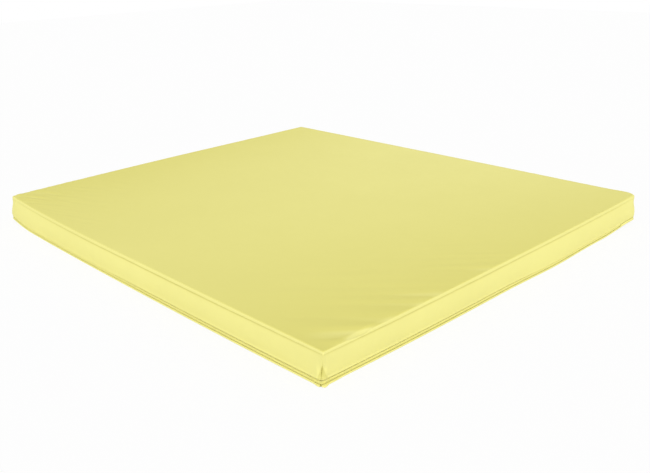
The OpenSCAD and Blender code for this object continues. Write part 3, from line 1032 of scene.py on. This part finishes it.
def tape_sheet(rows, section):
    """Strip of tape along the zip, through a section of insets and heights; it narrows past the chain."""
    length = zip_length(TAPE_END, TAPE_END)

    def shape(a, b):
        distance = (a + 1) / 2 * length
        side, share = zip_place(distance, TAPE_END)
        past_chain = max(CHAIN_LEFT_END - TAPE_END - distance, distance - length + CHAIN_RIGHT_END - TAPE_END)
        lip = mix(TAPE_LIP, TAPE_MEET, smooth(past_chain / TAPE_MEET_OVER))
        inset, z, width = section((b + 1) / 2, lip)
        rise = max(0.0, z - ZIP_Z) / SEAM_Z
        tuck = max(0.0, corner_tuck(corner_at(side, share), to_corner(share), rise))
        return (distance, width), on_side(side, share, inset + tuck - zip_bulge(side, share), z), 0.0

    return shaped_sheet(TAPE_COLUMNS, rows, shape)


def upper_section(t, lip):
    """Inset, height and flat place across the upper tape."""
    z = mix(ZIP_Z + lip, TAPE_TOP, t)
    return TAPE_IN, z, z


def lower_section(t, lip):
    """Inset, height and flat place across the lower tape, which turns in under the foam."""
    if t > 0.5:
        z = mix(TAPE_FOOT, ZIP_Z - lip, 2 * t - 1)
        return TAPE_LOW_IN, z, z
    inset = mix(TAPE_LOW_IN + TAPE_TURN, TAPE_LOW_IN, 2 * t)
    return inset, TAPE_FOOT, TAPE_LOW_IN - inset


def add_tapes():
    """The zip's two tapes, each a sheet with its own cut."""
    length = zip_length(TAPE_END, TAPE_END)
    upper = tape_sheet(UPPER_TAPE_ROWS, upper_section)
    lower = tape_sheet(LOWER_TAPE_ROWS, lower_section)
    tape = add_sheet("tape_upper", upper, TAPE, "zip_tape", "zip_tape_upper", length)
    thicken(tape, TAPE_T, levels=0)
    tape = add_sheet("tape_lower", lower, TAPE, "zip_tape", "zip_tape_lower", length)
    thicken(tape, TAPE_T, levels=0)


def bead(long, wide, deep, around, rings):
    """Small rounded bead, long in X, as a mesh that is copied many times."""
    bm = bmesh.new()
    bmesh.ops.create_uvsphere(bm, u_segments=around, v_segments=rings, radius=1.0)
    bmesh.ops.rotate(bm, cent=(0, 0, 0), matrix=Matrix.Rotation(QUARTER, 3, "Y"), verts=bm.verts)
    bmesh.ops.scale(bm, vec=(long / 2, wide / 2, deep / 2), verts=bm.verts)
    mesh = bpy.data.meshes.new("bead")
    bm.to_mesh(mesh)
    bm.free()
    return mesh


def row_of(mesh, places):
    """One bmesh with a copy of a small mesh at every place."""
    bm = bmesh.new()
    for place in places:
        copy = mesh.copy()
        copy.transform(place)
        bm.from_mesh(copy)
        bpy.data.meshes.remove(copy)
    bpy.data.meshes.remove(mesh)
    return bm


LIE_STEP = 0.4 * MM


def lie(side, share, inset, z, turn=0.0):
    """Place of a small piece on a side: its X runs along the side, its Y goes in and its Z goes up."""
    step = LIE_STEP / HALF
    here = settled(on_side(side, share, inset, z))
    ahead = settled(on_side(side, min(1.0, share + step), inset, z))
    behind = settled(on_side(side, max(-1.0, share - step), inset, z))
    along = (ahead - behind).normalized()
    up = Vector((0, 0, 1))
    inward = up.cross(along).normalized()
    axes = Matrix((along, inward, up)).transposed().to_4x4()
    return Matrix.Translation(here) @ axes @ Matrix.Rotation(turn, 4, "Y")


TOOTH_PITCH = 1.6 * MM
TOOTH_LONG = 2.75 * MM
TOOTH_WIDE = 1.35 * MM
TOOTH_DEEP = 1.6 * MM
TOOTH_OFF = 0.85 * MM
TOOTH_SLANT = math.radians(8)


def add_teeth(name, node, direction, shift):
    """One half of the closed chain, a bead for each turn of the coil."""
    length = zip_length(CHAIN_LEFT_END, CHAIN_RIGHT_END)
    count = int(length / TOOTH_PITCH) - 1
    places = []
    for number in range(count):
        side, share = zip_place((number + shift) * TOOTH_PITCH, CHAIN_LEFT_END)
        inset = CHAIN_IN - zip_bulge(side, share)
        turn = QUARTER + direction * TOOTH_SLANT
        places.append(lie(side, share, inset, ZIP_Z + direction * TOOTH_OFF, turn))
    chain = row_of(bead(TOOTH_LONG, TOOTH_DEEP, TOOTH_WIDE, around=8, rings=5), places)
    add_piece(name, chain, FILAMENT, "mat", "zip_coil", node)


CLIP_LONG = 3 * MM
CLIP_DEEP = 2.1 * MM
CLIP_TALL = 4.6 * MM
CLIP_EDGE_R = 0.5 * MM
CLIP_RIGHT_END = 59.3 * MM
CLIP_IN = 5.95 * MM


def add_stop_clip():
    """Moulded stop across both halves of the chain, at its end on the right side."""
    bm = bmesh.new()
    bmesh.ops.create_cube(bm, size=1.0)
    bmesh.ops.scale(bm, vec=(CLIP_LONG, CLIP_DEEP, CLIP_TALL), verts=bm.verts)
    round_edges(bm, list(bm.edges), CLIP_EDGE_R, segments=3)
    side, share = zip_place(zip_length(CHAIN_LEFT_END, CLIP_RIGHT_END), CHAIN_LEFT_END)
    bmesh.ops.transform(bm, matrix=lie(side, share, CLIP_IN, ZIP_Z), verts=bm.verts)
    add_piece("stop_clip", bm, FILAMENT, "mat", "zip_coil", "zip_stop_bottom")


WELD = 0.002 * MM
FLAT_ANGLE = math.radians(2)
SHARP_ANGLE = math.radians(35)


def eased_copy(name, node, body, radius, material, slot):
    """Copy of a small hard node with its sharp edges eased."""
    bm = bmesh.new()
    bm.from_mesh(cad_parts[node].data)
    bmesh.ops.remove_doubles(bm, verts=bm.verts, dist=WELD)
    bmesh.ops.dissolve_limit(bm, angle_limit=FLAT_ANGLE, verts=bm.verts, edges=bm.edges)
    closed = [edge for edge in bm.edges if len(edge.link_faces) == 2]
    sharp = [edge for edge in closed if edge.calc_face_angle() > SHARP_ANGLE]
    round_edges(bm, sharp, radius, segments=2, clamp=True)
    add_piece(name, bm, material, body, slot, node)


# Stitches

STITCH_D = 0.55 * MM
STITCH_SUNK = 0.3 * MM
TOP_RUNG = 1.3 * MM
BACK_RUNG = 1.6 * MM
SEAM_END = 4 * MM
BACK_SEAM_END = 3 * MM
BACK_SEAM_ROUND = TAPE_END - 2 * MM
SEAM_PITCH = 4 * MM
SEWN_BELOW = 0.1
OPEN_ABOVE = 0.95
ROW_PITCH = 4 * MM
ROW_STITCH = 3 * MM
ROW_CORNER_GAP = 14 * MM
RIM_STITCH_Z = 0.4 * MM
CORNER_STITCH = 3 * MM
CORNER_STITCHES = 7
CORNER_STITCH_IN = 5.6 * MM
CORNER_STITCH_FOOT = 22.5 * MM
CORNER_STITCH_HEAD = SEAM_Z - 4 * MM


def add_seam_ladder():
    """Stitches that show as small rungs in the top seam's valley, all the way round."""
    per_side = int(2 * (HALF - SEAM_END) / SEAM_PITCH)
    places = []
    for side in range(4):
        for number in range(per_side + 1):
            share = (number / per_side * 2 - 1) * (1 - SEAM_END / HALF)
            z = SEAM_Z + seam_wave(side, share)
            places.append(lie(side, share, SEAM_IN + STITCH_SUNK, z, QUARTER))
    bm = row_of(bead(TOP_RUNG, STITCH_D, STITCH_D, around=6, rings=4), places)
    add_piece("top_seam_stitches", bm, THREAD, "mat", "thread", "top_seam_thread")


def add_back_ladder():
    """Rungs of the plain seam along the foot of the back, round to the ends of the zip."""
    count = int((2 * HALF + 2 * BACK_SEAM_ROUND) / SEAM_PITCH)
    places = []
    for number in range(count):
        distance = number * SEAM_PITCH - BACK_SEAM_ROUND
        if distance < 0:
            side, share = RIGHT, 1 + distance / HALF
        elif distance < 2 * HALF:
            side, share = BACK, distance / HALF - 1
        else:
            side, share = LEFT, (distance - 2 * HALF) / HALF - 1
        if slot_open(side, share) < SEWN_BELOW and abs(share) < 1 - BACK_SEAM_END / HALF:
            places.append(lie(side, share, HEM_IN + STITCH_SUNK, ZIP_Z, QUARTER))
    bm = row_of(bead(BACK_RUNG, STITCH_D, STITCH_D, around=6, rings=4), places)
    add_piece("back_seam_stitches", bm, THREAD, "mat", "thread", "bottom_seam_thread")


def add_stitch_row(name, node, place_at):
    """Row of plain stitches beside the zip, on its three sides."""
    count = int(zip_length(TAPE_END, TAPE_END) / ROW_PITCH)
    places = []
    for number in range(count):
        side, share = zip_place((number + 0.5) * ROW_PITCH, TAPE_END)
        if to_corner(share) > ROW_CORNER_GAP and slot_open(side, share) > OPEN_ABOVE:
            places.append(lie(side, share, *place_at(side, share)))
    bm = row_of(bead(ROW_STITCH, STITCH_D, STITCH_D, around=6, rings=5), places)
    add_piece(name, bm, THREAD, "mat", "thread", node)


def on_hem(side, share):
    """Inset and height of the hem's stitches."""
    foot = band_foot(side, share)
    rise = HEM_STITCH / (SEAM_Z - foot)
    return band_inset(corner_at(side, share), to_corner(share), rise) + STITCH_SUNK, foot + HEM_STITCH


def on_rim(side, share):
    """Inset and height of the rim's stitches, on the underside."""
    return RIM_STITCH, RIM_STITCH_Z


def add_corner_stitches():
    """Stitches behind the four corner seams."""
    places = []
    for side in range(4):
        for number in range(CORNER_STITCHES):
            z = mix(CORNER_STITCH_FOOT, CORNER_STITCH_HEAD, (number + 0.5) / CORNER_STITCHES)
            places.append(lie(side, 1.0, CORNER_STITCH_IN, z, QUARTER))
    bm = row_of(bead(CORNER_STITCH, STITCH_D, STITCH_D, around=6, rings=5), places)
    add_piece("corner_seam_stitches", bm, THREAD, "mat", "thread", "corner_seam_threads")


# Studio: pale floor, white backdrop, soft light from the camera's side

CAMERA_TURN = 49.634
CAMERA_RISE = 20.706
CAMERA_ROLL = -1.509
CAMERA_AWAY = 1.5329
AIM = Vector((0.0087, -0.2401, 0.0318))
FOCAL_PX = 750.5
FRAME_W = 650
CENTRE_X = 232.0
SENSOR = 36.0


def seen_from(turn, rise):
    """Direction of a place seen from the mat, turned round it and raised above the floor."""
    turn = math.radians(turn)
    rise = math.radians(rise)
    return Vector((math.sin(turn) * math.cos(rise), -math.cos(turn) * math.cos(rise), math.sin(rise)))


def add_camera():
    """Camera of the photograph, whose picture was cut to one side of its lens's axis."""
    data = bpy.data.cameras.new("camera")
    data.sensor_width = SENSOR
    data.lens = FOCAL_PX / FRAME_W * SENSOR
    data.shift_x = (FRAME_W / 2 - CENTRE_X) / FRAME_W
    camera = bpy.data.objects.new("camera", data)
    bpy.context.scene.collection.objects.link(camera)
    back = seen_from(CAMERA_TURN, CAMERA_RISE)
    right = Vector((0, 0, 1)).cross(back).normalized()
    axes = Matrix((right, back.cross(right), back)).transposed().to_4x4()
    spin = Matrix.Rotation(math.radians(CAMERA_ROLL), 4, "Z")
    camera.matrix_world = Matrix.Translation(AIM + back * CAMERA_AWAY) @ axes @ spin
    bpy.context.scene.camera = camera


FILL = 0.69
KEY = 0.51
KEY_TURN = 46
KEY_RISE = 35
KEY_SOFTNESS = 50


def add_light():
    """One broad soft light from the camera's side."""
    data = bpy.data.lights.new("key", "SUN")
    data.energy = KEY * math.pi
    data.angle = math.radians(KEY_SOFTNESS)
    key = bpy.data.objects.new("key", data)
    bpy.context.scene.collection.objects.link(key)
    key.rotation_euler = seen_from(KEY_TURN, KEY_RISE).to_track_quat("Z", "Y").to_euler()


def add_world():
    """White backdrop, and even soft light from all round the studio."""
    world = bpy.data.worlds.new("studio")
    bpy.context.scene.world = world
    world.use_nodes = True
    nodes = world.node_tree.nodes
    links = world.node_tree.links
    path = nodes.new("ShaderNodeLightPath")
    mirrored = nodes.new("ShaderNodeMath")
    mirrored.operation = "MAXIMUM"
    links.new(path.outputs["Is Glossy Ray"], mirrored.inputs[0])
    links.new(path.outputs["Is Transmission Ray"], mirrored.inputs[1])
    seen = nodes.new("ShaderNodeMath")
    seen.operation = "MAXIMUM"
    links.new(path.outputs["Is Camera Ray"], seen.inputs[0])
    links.new(mirrored.outputs[0], seen.inputs[1])
    level = nodes.new("ShaderNodeMix")
    level.inputs["A"].default_value = FILL
    level.inputs["B"].default_value = 1.0
    links.new(seen.outputs[0], level.inputs["Factor"])
    links.new(level.outputs[0], nodes["Background"].inputs["Strength"])
    nodes["Background"].inputs["Color"].default_value = (1, 1, 1, 1)


FLOOR_HALF = 6.0
FLOOR_Z = -0.4 * MM
FLOOR_PAINT = 0.9
FLOOR_WHITE_SHARE = 0.88
SEEING_RAYS = ("Is Camera Ray", "Is Glossy Ray", "Is Transmission Ray")


def add_floor():
    """Pale floor, mixed with plain white for the camera so that only a faint shadow shows."""
    bm = bmesh.new()
    bmesh.ops.create_grid(bm, x_segments=1, y_segments=1, size=FLOOR_HALF)
    bmesh.ops.translate(bm, vec=(0, 0, FLOOR_Z), verts=bm.verts)
    mesh = bpy.data.meshes.new("floor")
    bm.to_mesh(mesh)
    bm.free()
    floor = bpy.data.objects.new("floor", mesh)
    bpy.context.scene.collection.objects.link(floor)
    paint_coat = Finish("floor_paint", Roughness=0.9, Base_Color=(FLOOR_PAINT, FLOOR_PAINT, FLOOR_PAINT, 1))
    paint_coat.shader.inputs["Specular IOR Level"].default_value = 0.0
    path = paint_coat.node("ShaderNodeLightPath")
    rays = path.socket.node.outputs
    seen = sum(Wire(paint_coat, rays[ray]) for ray in SEEING_RAYS)
    white = paint_coat.node("ShaderNodeEmission", {}, {"Color": (1, 1, 1, 1), "Strength": 1.0})
    body = Wire(paint_coat, paint_coat.shader.outputs[0])
    both = paint_coat.node("ShaderNodeMixShader", {}, {0: seen * FLOOR_WHITE_SHARE, 1: body, 2: white})
    paint_coat.tree.links.new(both.socket, paint_coat.tree.nodes["Material Output"].inputs["Surface"])
    mesh.materials.append(paint_coat.material)


# The whole mat

METAL_EASE = 0.12 * MM
STOP_EASE = 0.3 * MM

add_camera()
add_cover()
add_foam()
add_tapes()
add_teeth("teeth_upper", "zip_coil_upper", direction=1, shift=0.5)
add_teeth("teeth_lower", "zip_coil_lower", direction=-1, shift=1.0)
add_stop_clip()
eased_copy("slider_body", "zip_slider", "slider", METAL_EASE, METAL, "zip_metal")
eased_copy("slider_tab", "zip_pull_tab", "pull_tab", METAL_EASE, METAL, "zip_metal")
eased_copy("stop_pair", "zip_stops_top", "mat", STOP_EASE, FILAMENT, "zip_coil")
add_seam_ladder()
add_back_ladder()
add_stitch_row("hem_stitches", "zip_thread_upper", on_hem)
add_stitch_row("rim_stitches", "zip_thread_lower", on_rim)
add_corner_stitches()
add_light()
add_world()
add_floor()
bpy.context.scene.view_settings.view_transform = "Standard"
